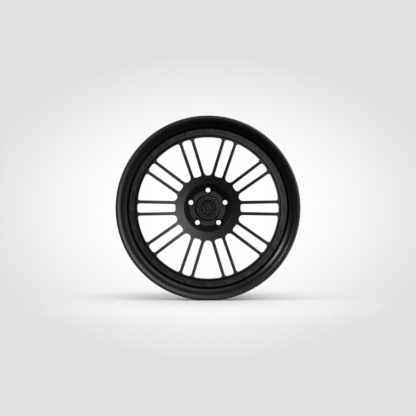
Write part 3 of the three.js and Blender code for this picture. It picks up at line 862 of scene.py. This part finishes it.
def wedge_polygons():
    """All faces of a wedge: front, back, window walls, lug well, back pocket and bore."""
    opening = opening_half()
    slot = slot_half()
    slot_whole = rotated(whole_of(slot), WEDGE / 2)
    well = circle_half(STUD_CIRCLE, LUG_WELL, STUD_COLUMNS)
    stud = circle_half(STUD_CIRCLE, STUD_HOLE, STUD_COLUMNS)
    far_opening = rotated(whole_of(opening), WEDGE)
    faces = []
    edges = []
    for profile, direction, edge, rings in (
        (front_profile(), 1, SPOKE_FRONT_EDGE, 3.0),
        (back_profile(), -1, SPOKE_BACK_EDGE, 5.0),
    ):
        side = WedgeFace(profile, direction)
        rows = [
            side.add_hole(opening, whole_of(opening), edge),
            side.add_hole(lower_half(opening, WEDGE), far_opening, edge),
            side.add_hole(slot_whole, slot_whole, edge, closed=True),
        ]
        if direction > 0:
            rows.append(side.add_hole(well, whole_of(well), WELL_EDGE, floor=PAD_DEPTH))
        else:
            rows.append(side.add_hole(stud, whole_of(stud), STUD_BACK_EDGE))
            pocket = back_pocket_half()
            far_pocket = rotated(whole_of(pocket), WEDGE)
            rows.append(side.add_hole(lower_half(pocket, WEDGE), far_pocket, STUD_BACK_EDGE))
        side.add_rings(ring_radii(profile, rings), rings)
        faces += side.polygons()
        edges.append(rows)
    front, back = edges
    for window in range(3):
        faces += strip(front[window], back[window], 4, closed=window == 2)
    faces += stud_polygons(front[3], back[3])
    floor = [point - Vector((0, BACK_POCKET_DEPTH * MM, 0)) for point in back[4]]
    faces += strip(back[4], floor)
    faces.append(floor)
    rows = [arc_row(radius, depth) for radius, depth in BORE_OUTLINE]
    for near, far in zip(rows, rows[1:]):
        faces += strip(near, far)
    return faces


def stud_polygons(well_edge, back_edge):
    """Lug well, conical seat and stud hole, from the front edge to the back edge."""
    foot = PAD_DEPTH + LUG_SEAT_DEPTH
    rings = [(LUG_WELL, PAD_DEPTH), (LUG_WELL - 0.3, PAD_DEPTH + 0.25)]
    rings += [(STUD_HOLE + 0.2, foot - 0.4), (STUD_HOLE, foot)]
    rows = [well_edge, *[circle_row(radius, depth) for radius, depth in rings], back_edge]
    faces = []
    for near, far in zip(rows, rows[1:]):
        faces += strip(near, far, 2)
    return faces


def flange_angle(column, warped):
    """Azimuth of a column of the flange. Near a raised pad's side the columns close up."""
    pitch = 2 * math.pi / BOLT_COUNT
    per_pad = FLANGE_COLUMNS // BOLT_COUNT
    pad, step = divmod(column + per_pad // 2, per_pad)
    step -= per_pad // 2
    degrees = step * 360 / FLANGE_COLUMNS
    if warped and abs(step) in PAD_COLUMNS:
        degrees = math.copysign(PAD_COLUMNS[abs(step)][0], step)
    outside = float(abs(step) > max(PAD_COLUMNS))
    _, share = PAD_COLUMNS.get(abs(step), (0.0, outside))
    return pad * pitch + math.radians(degrees), share


def flange_polygons():
    """Outer flange of the centre, with a shallow pocket between each two raised pads."""
    rows = []
    for radius, depth, pocket, warped in FLANGE_ROWS:
        row = []
        for column in range(FLANGE_COLUMNS):
            angle, share = flange_angle(column, warped)
            spot = polar(radius, angle)
            row.append(solid(spot, depth + POCKET_DEPTH * pocket * share))
        rows.append(row)
    faces = []
    for near, far in zip(rows, rows[1:]):
        faces += strip(near, far, closed=True)
    return faces


def add_faces(builder, faces, place):
    """Add faces given by their points. Equal points become one vertex."""
    cache = {}
    for face in faces:
        corners = []
        for point in face:
            key = tuple(round(value, 8) for value in point)
            if key not in cache:
                cache[key] = builder.verts.new(place @ point)
            if cache[key] not in corners:
                corners.append(cache[key])
        if len(corners) > 2:
            builder.faces.new(corners)


def make_wheel_centre():
    """Ten mirrored wedges and the flange with its pads and blind bolt holes."""
    builder = bmesh.new()
    wedge = wedge_polygons()
    for sector in range(WEDGE_COUNT):
        pair, flip = divmod(sector, 2)
        spin = Matrix.Rotation(-(FIRST_STUD + 2 * WEDGE * pair), 3, "Y")
        add_faces(builder, wedge, spin @ Matrix.Diagonal((1, 1, -1 if flip else 1)))
    add_faces(builder, flange_polygons(), Matrix.Rotation(-FIRST_STUD, 3, "Y"))
    piece = finish_mesh("wheel_centre_visual", builder, COAT)
    cut_away(piece, bolt_hole_cutter(BOLT_HOLE_END, FLANGE_BACK, blind=True))
    assign(piece, "wheel", "satin_black", "wheel_centre")


# ---- Hub, cap and bolts -------------------------------------------------------------

CAP_SEGMENTS = 144
FINGER_SLOT_COUNT = 6
FINGER_SLOT_RADIUS = 27.0
FINGER_SLOT_DEPTH = 105.0
FINGER_SLOT_SIZE = (14.0, 6.0, 2.4)

SPRING_RADIUS = 23.2
SPRING_DEPTH = 104.5
SPRING_WIRE = 0.88
SPRING_GAP = 0.26
SPRING_STEPS = 96
WIRE_SIDES = 10

BOLT_TIP = 55.4
BOLT_SHANK = 3.9
BOLT_WASHER = 6.3
BOLT_FLAT = 5.5
BOLT_HEAD_FACE = BARREL_FLANGE_BACK + 0.3
BOLT_HEAD_END = BOLT_HEAD_FACE + 8
# How far a hexagon's corners are turned off, as a share of what they stand out.
CORNER_SHARE = 0.55


def make_hub_ring():
    """Spigot ring between the bore and the car's hub."""
    back = MOUNTING_DEPTH - 0.5
    outline = [
        (36.3, back - 14.5, 0.8),
        (39.2, back - 14.5, 0.6),
        (40.2, back - 13, 0.5),
        (40.2, back, 0.5),
        (37.8, back, 0.4),
        (36.3, back - 1.8, 0.4),
    ]
    turned_piece("hub_ring", outline, CAP_SEGMENTS, COAT, "wheel", "satin_black")


def finger_slot_cutter():
    """Slots that part the cap's ring of fingers."""
    builder = bmesh.new()
    size = Matrix.Diagonal((*(side * MM for side in FINGER_SLOT_SIZE), 1))
    for azimuth in full_turn(FINGER_SLOT_COUNT):
        place = round_wheel(azimuth, FINGER_SLOT_RADIUS, FINGER_SLOT_DEPTH)
        bmesh.ops.create_cube(builder, size=1, matrix=place @ size)
    return builder


def make_centre_cap():
    """Cap with a raised ring round its face, a groove for the O-ring and fingers behind."""
    outline = [
        (0, 94.4),
        (23.7, 94.4, 0.2),
        (23.7, 93.6, 0.3),
        (26.0, 90.5, 0.8),
        (27.2, 89.7, 0.8),
        (30.2, 89.8, 1.2),
        (32.2, 91.6, 0.5),
        (32.2, 94.7, 0.3),
        (28.8, 94.7, 0.3),
        (28.8, 97.4, 0.1),
        (27.4, 97.4, 0.1),
        (27.4, 100, 0.1),
        (28.8, 100, 0.1),
        (29.3, 104, 0.5),
        (28.4, 107, 0.4),
        (24.6, 107, 0.4),
        (24.6, 97, 0.6),
        (0, 97),
    ]
    cutters = [finger_slot_cutter()]
    turned_piece("centre_cap", outline, CAP_SEGMENTS, CAP_PLASTIC, "cap", "cap_black", False, cutters)


def make_cap_insert():
    """Round plate in the cap with one raised ring."""
    outline = [
        (0, 94.1),
        (23.3, 94.1, 0.1),
        (23.3, 93.7, 0.2),
        (21.2, 91.4, 0.6),
        (19.6, 90.9, 0.6),
        (17.4, 91.1, 0.6),
        (15.2, 93.2, 0.6),
        (12.4, 93.3, 0.1),
        (0, 93.3),
    ]
    turned_piece("cap_insert", outline, CAP_SEGMENTS, CAP_PLATE, "cap", "cap_insert_black", False)


def make_cap_emblem():
    """Plain domed plate in the middle of the cap."""
    outline = [
        (0, 92.9),
        (11.8, 92.9, 0.2),
        (11.8, 92.0, 0.4),
        (10.4, 91.2, 1.0),
        (5, 90.95, 4),
        (0, 90.9),
    ]
    turned_piece("cap_emblem", outline, 96, CAP_PLATE, "cap", "cap_insert_black", closed=False)


def make_cap_o_ring():
    outline = [(28.5 + 0.85 * math.cos(a), 98.7 + 0.95 * math.sin(a)) for a in full_turn(12)]
    turned_piece("cap_o_ring", outline, 120, RUBBER, "cap", "black_rubber")


def make_cap_spring_ring():
    """Open ring of round wire."""
    builder = bmesh.new()
    rings = []
    for step in range(SPRING_STEPS + 1):
        angle = SPRING_GAP + (2 * math.pi - 2 * SPRING_GAP) * step / SPRING_STEPS
        ring = []
        for around in full_turn(WIRE_SIDES):
            out = (SPRING_RADIUS + SPRING_WIRE * math.cos(around)) * MM
            station = FRONT_Y + (SPRING_DEPTH + SPRING_WIRE * math.sin(around)) * MM
            ring.append(builder.verts.new((out * math.cos(angle), station, out * math.sin(angle))))
        rings.append(ring)
    for near, far in zip(rings, rings[1:]):
        join_rings(builder, near, far)
    builder.faces.new(rings[0])
    builder.faces.new(rings[-1])
    piece = finish_mesh("cap_spring_ring_visual", builder, SPRING_STEEL, sharp_angle=60)
    assign(piece, "cap", "bright_steel", "cap_spring_ring")


def make_bolt_mesh():
    """Hexagon bolt with a washer face, standing on Y through the origin, head towards +Y."""
    builder = bmesh.new()
    face = BOLT_HEAD_FACE
    washer = [(0, face), (BOLT_WASHER, face, 0.1), (BOLT_WASHER, face + 1, 0.3), (0, face + 1)]
    turn(builder, in_depth(fillet(washer, closed=False)), 36, closed=False)
    flat = BOLT_FLAT * MM
    start = FRONT_Y + (face + 1.05) * MM
    end = FRONT_Y + BOLT_HEAD_END * MM
    rows = [
        round_row(0, start),
        round_row(0.92 * flat, start),
        hexagon_row(flat, start, CORNER_SHARE),
        hexagon_row(flat, end, -CORNER_SHARE),
        round_row(0.92 * flat, end),
        round_row(0, end),
    ]
    add_rows(builder, rows, 48)
    shank = [(0, BOLT_TIP), (BOLT_SHANK - 0.7, BOLT_TIP), (BOLT_SHANK, BOLT_TIP + 0.8)]
    shank += [(BOLT_SHANK, face - 0.05), (0, face - 0.05)]
    turn(builder, in_depth(shank), 24, closed=False)
    bolt = finish_mesh("assembly_bolt_pattern", builder, BLACK_STEEL)
    mesh = bolt.data
    bpy.data.objects.remove(bolt)
    return mesh


def make_assembly_bolts():
    pattern = make_bolt_mesh()
    out = Matrix.Translation((BOLT_CIRCLE * MM, 0, 0))
    for index, azimuth in enumerate(full_turn(BOLT_COUNT)):
        mesh = pattern.copy()
        mesh.transform(Matrix.Rotation(-azimuth, 4, "Y") @ out)
        label = f"assembly_bolt_{index + 1:02d}"
        bolt = bpy.data.objects.new(f"{label}_visual", mesh)
        bpy.context.scene.collection.objects.link(bolt)
        assign(bolt, "wheel", "black_steel", label)


# ---- Tyre valve ----------------------------------------------------------------------
# Outlines are (radius from the valve's axis, distance from the wheel's axis), in millimetres.

STEM_TIP = 243.6
STEM_BASE = 267.6
THREAD_PITCH = 0.8
THREAD_HEIGHT = 0.38
NUT_FLAT = 7.0
CAP_RIBS = 20


def valve_piece(node, builder, material, body, slot):
    """Lay a piece built along Y on the valve's axis."""
    onto_valve_axis(builder)
    assign(finish_mesh(f"{node}_visual", builder, material), body, slot, node)


def valve_turned(node, outline, material, body, slot, closed=True, segments=48):
    builder = bmesh.new()
    turn(builder, in_radius(fillet(outline, closed)), segments, closed)
    valve_piece(node, builder, material, body, slot)


def threaded(radius, start, end):
    """Zigzag outline of a fine thread between two stations."""
    count = round((end - start) / THREAD_PITCH)
    points = []
    for step in range(count):
        station = start + THREAD_PITCH * (step + 0.25)
        points += [(radius - THREAD_HEIGHT, station), (radius, station + THREAD_PITCH * 0.4)]
    return points


def make_valve():
    valve_turned("valve_grommet", [
        (4.5, INNER_SEAT + 0.4, 0.2),
        (5.4, INNER_SEAT + 0.4, 0.3),
        (5.4, OUTER_SEAT + 0.3),
        (8.5, OUTER_SEAT + 0.3, 0.5),
        (8.5, STEM_BASE - 0.3, 0.6),
        (4.5, STEM_BASE - 0.3, 0.2),
    ], RUBBER, "wheel", "black_rubber")
    valve_turned("valve_stem", [
        (2.0, STEM_TIP, 0.2),
        (3.5, STEM_TIP, 0.2),
        (3.7, STEM_TIP + 0.6),
        *threaded(4.1, STEM_TIP + 0.8, INNER_SEAT - 1.8),
        (3.85, INNER_SEAT - 1.4),
        (3.85, STEM_BASE - 0.1),
        (7.5, STEM_BASE, 0.4),
        (7.5, STEM_BASE + 1.2, 0.3),
        (6.6, STEM_BASE + 2.0, 0.3),
        (2.0, STEM_BASE + 2.0, 0.2),
    ], BLACK_STEEL, "wheel", "black_steel")
    valve_turned("valve_washer", [
        (4.5, INNER_SEAT - 1.7, 0.2),
        (8.6, INNER_SEAT - 1.7, 0.3),
        (8.6, INNER_SEAT - 0.3, 0.3),
        (4.5, INNER_SEAT - 0.3, 0.2),
    ], BLACK_STEEL, "wheel", "black_steel")
    valve_turned("valve_core", [
        (0.9, STEM_TIP + 0.4, 0.1),
        (1.4, STEM_TIP + 0.4, 0.1),
        *threaded(1.7, STEM_TIP + 0.6, STEM_TIP + 5.4),
        (1.35, STEM_TIP + 5.9),
        (1.35, STEM_TIP + 9.0),
        (1.7, STEM_TIP + 9.6),
        (1.7, STEM_TIP + 17.6, 0.3),
        (0.9, STEM_TIP + 18.0, 0.1),
    ], BRASS, "wheel", "valve_brass", segments=32)
    valve_turned("valve_pin", [
        (0, STEM_TIP - 0.4),
        (0.5, STEM_TIP - 0.4, 0.15),
        (0.5, STEM_TIP + 18.6, 0.1),
        (1.15, STEM_TIP + 18.6, 0.1),
        (1.15, STEM_TIP + 20, 0.3),
        (0, STEM_TIP + 20),
    ], BRASS, "valve_pin", "valve_brass", closed=False, segments=24)
    make_valve_nut()
    make_valve_cap()


def make_valve_nut():
    """Hexagon nut whose corners are turned off at both ends."""
    bottom = INNER_SEAT - 7.0
    top = INNER_SEAT - 2.05
    flat = NUT_FLAT * MM
    lower = [(4.7, bottom + 0.4), (5.1, bottom), (6.6, bottom)]
    upper = [(6.6, top), (5.1, top), (4.7, top - 0.4)]
    rows = [round_row(*point) for point in in_radius(lower)]
    rows.append(hexagon_row(flat, (bottom + 0.1) * MM, CORNER_SHARE))
    rows.append(hexagon_row(flat, (top - 0.1) * MM, -CORNER_SHARE))
    rows += [round_row(*point) for point in in_radius(upper)]
    builder = bmesh.new()
    add_rows(builder, rows, 72, closed=True)
    valve_piece("valve_nut", builder, BLACK_STEEL, "wheel", "black_steel")


def ribbed_row(radius, station, depth):
    return lambda angle: (radius - depth * (0.5 + 0.5 * math.cos(CAP_RIBS * angle)), station)


def make_valve_cap():
    """Screw cap with a knurled grip and a domed top."""
    roof = STEM_TIP - 1.2
    mouth = STEM_TIP + 7.0
    inside = [(4.45, roof), (4.45, mouth - 0.2), (4.65, mouth), (4.95, mouth), (5.1, mouth - 0.3)]
    grip = [(mouth - 0.9, 0.0), (mouth - 1.1, 0.3), (roof + 1.3, 0.3), (roof + 0.9, 0.0)]
    dome = [(5.1, roof + 0.2), (4.7, roof - 0.7), (3.9, roof - 1.25), (2.0, roof - 1.5)]
    rows = [round_row(*point) for point in in_radius(inside)]
    rows += [ribbed_row(5.15 * MM, station * MM, depth * MM) for station, depth in grip]
    rows += [round_row(*point) for point in in_radius(dome)]
    builder = bmesh.new()
    rings = add_rows(builder, rows, CAP_RIBS * 8)
    builder.faces.new(rings[0])
    builder.faces.new(rings[-1])
    valve_piece("valve_cap", builder, CAP_PLASTIC, "valve_cap", "cap_black")


# ---- Stage, light and camera ---------------------------------------------------------

# Half the floor's side and its middle, in metres. Its colour darkens with distance, a painted pool of
# light, and it fades out with distance.
FLOOR_REACH = 0.6
FLOOR_MIDDLE = (0.0, -0.25)
# Painted pool of light: the floor's colour at the middle and further out, and the distances in metres
# over which it darkens.
FLOOR_POOL_LIT = (0.82, 0.82, 0.82)
FLOOR_POOL_DIM = (0.66, 0.66, 0.66)
FLOOR_POOL_SPAN = (0.15, 1.0)
FLOOR_FADE_START = 0.1

# Brightness where no light shines.
STUDIO_DARK = 0.035
# Lights: azimuth about the wheel axis, angle off the outer side, brightness, tightness.
STUDIO_LIGHTS = [
    (17, 43, 2.6, 8.6),
    (64, 84, 2.5, 5.0),
    (147, 77, 32.0, 130.0),
    (0, 0, 0.36, 11.0),
    (125, 128, 0.8, 8.0),
    (0, 180, 0.22, 9.0),
]
# The backdrop falls from its middle to its edge. The fall is per squared width and height.
BACKDROP_MIDDLE = 1.02
BACKDROP_EDGE = 0.745
BACKDROP_FALL = (4.9, 11.0)


def make_floor():
    """Pale floor under the wheel with a painted pool of light in its colour, fading out all round so that
    no edge shows.
    """
    builder = bmesh.new()
    middle = Vector((*FLOOR_MIDDLE, FLOOR_Z))
    corners = [(-FLOOR_REACH, -FLOOR_REACH), (FLOOR_REACH, -FLOOR_REACH)]
    corners += [(FLOOR_REACH, FLOOR_REACH), (-FLOOR_REACH, FLOOR_REACH)]
    builder.faces.new([builder.verts.new(middle + Vector((x, y, 0))) for x, y in corners])
    material, tree, shader = shader_nodes("studio_floor")
    shader.inputs["Roughness"].default_value = 0.7
    shader.inputs["Specular IOR Level"].default_value = 0.1
    distance = tree.nodes.new("ShaderNodeVectorMath")
    distance.operation = "LENGTH"
    flat = tree.nodes.new("ShaderNodeVectorMath")
    flat.operation = "SUBTRACT"
    flat.inputs[1].default_value = middle
    tree.links.new(texture_space(tree), flat.inputs[0])
    tree.links.new(flat.outputs["Vector"], distance.inputs[0])
    away = distance.outputs["Value"]
    # Painted pool of light: the floor's colour is lightest at the middle and darker further away.
    painted_pool = spread(tree, away, 0.0, 1.0, *FLOOR_POOL_SPAN)
    tree.links.new(tint(tree, painted_pool, FLOOR_POOL_LIT, FLOOR_POOL_DIM), shader.inputs["Base Color"])
    fade = spread(tree, away, 1.0, 0.0, FLOOR_FADE_START, FLOOR_REACH)
    tree.links.new(fade, shader.inputs["Alpha"])
    floor = finish_mesh("studio_floor", builder, material)
    floor.visible_glossy = False
    floor.visible_diffuse = False


def world_math(tree, operation, first, second):
    """Math node between two values, each a number or an output."""
    node = tree.nodes.new("ShaderNodeMath")
    node.operation = operation
    for socket, value in zip(node.inputs, (first, second)):
        if isinstance(value, (int, float)):
            socket.default_value = value
        else:
            tree.links.new(value, socket)
    return node.outputs[0]


def off_axis(azimuth, tilt):
    """Unit vector: azimuth turns about the wheel axis, tilt is the angle from the outer side."""
    across = math.sin(math.radians(tilt))
    turned = math.radians(azimuth)
    return (across * math.cos(turned), -math.cos(math.radians(tilt)), across * math.sin(turned))


def light_lobe(tree, direction, azimuth, tilt, brightness, tightness):
    """Soft round patch of light in the surroundings."""
    dot = tree.nodes.new("ShaderNodeVectorMath")
    dot.operation = "DOT_PRODUCT"
    dot.inputs[1].default_value = off_axis(azimuth, tilt)
    tree.links.new(direction, dot.inputs[0])
    off = world_math(tree, "SUBTRACT", dot.outputs["Value"], 1.0)
    fall = world_math(tree, "MULTIPLY", off, tightness)
    return world_math(tree, "MULTIPLY", world_math(tree, "EXPONENT", fall, 0.0), brightness)


def make_world():
    """Dim studio with soft lights for the object, and a plain pale backdrop for the camera."""
    world = bpy.data.worlds.new("studio_world")
    bpy.context.scene.world = world
    world.use_nodes = True
    tree = world.node_tree
    direction = tree.nodes.new("ShaderNodeTexCoord").outputs["Generated"]
    light = STUDIO_DARK
    for lobe in STUDIO_LIGHTS:
        light = world_math(tree, "ADD", light_lobe(tree, direction, *lobe), light)
    split = tree.nodes.new("ShaderNodeSeparateXYZ")
    tree.links.new(direction, split.inputs["Vector"])
    across = world_math(tree, "MULTIPLY", split.outputs["X"], split.outputs["X"])
    up = world_math(tree, "MULTIPLY", split.outputs["Z"], split.outputs["Z"])
    sideways = world_math(tree, "MULTIPLY", across, BACKDROP_FALL[0])
    upward = world_math(tree, "MULTIPLY", up, BACKDROP_FALL[1])
    fall = world_math(tree, "ADD", sideways, upward)
    bright = world_math(tree, "SUBTRACT", BACKDROP_MIDDLE, fall)
    backdrop = world_math(tree, "MAXIMUM", bright, BACKDROP_EDGE)
    camera_ray = tree.nodes.new("ShaderNodeLightPath").outputs["Is Camera Ray"]
    mix = tree.nodes.new("ShaderNodeMix")
    tree.links.new(camera_ray, mix.inputs[0])
    tree.links.new(light, mix.inputs[2])
    tree.links.new(backdrop, mix.inputs[3])
    background = tree.nodes["Background"]
    background.inputs["Color"].default_value = (1, 1, 1, 1)
    tree.links.new(mix.outputs[0], background.inputs["Strength"])


def make_camera():
    data = bpy.data.cameras.new("camera")
    data.sensor_width = SENSOR
    data.lens = SENSOR * CAMERA_DISTANCE / CAMERA_WIDTH_AT_LIP
    camera = bpy.data.objects.new("camera", data)
    bpy.context.scene.collection.objects.link(camera)
    camera.location = (0, FRONT_Y - CAMERA_DISTANCE, 0)
    camera.rotation_euler = (math.radians(90), 0, 0)
    bpy.context.scene.camera = camera


make_camera()
make_floor()
make_world()
bpy.context.scene.view_settings.view_transform = "Standard"

make_outer_lip()
make_inner_barrel()
make_barrel_seal()
make_wheel_centre()
make_hub_ring()
make_centre_cap()
make_cap_insert()
make_cap_emblem()
make_cap_o_ring()
make_cap_spring_ring()
make_assembly_bolts()
make_valve()
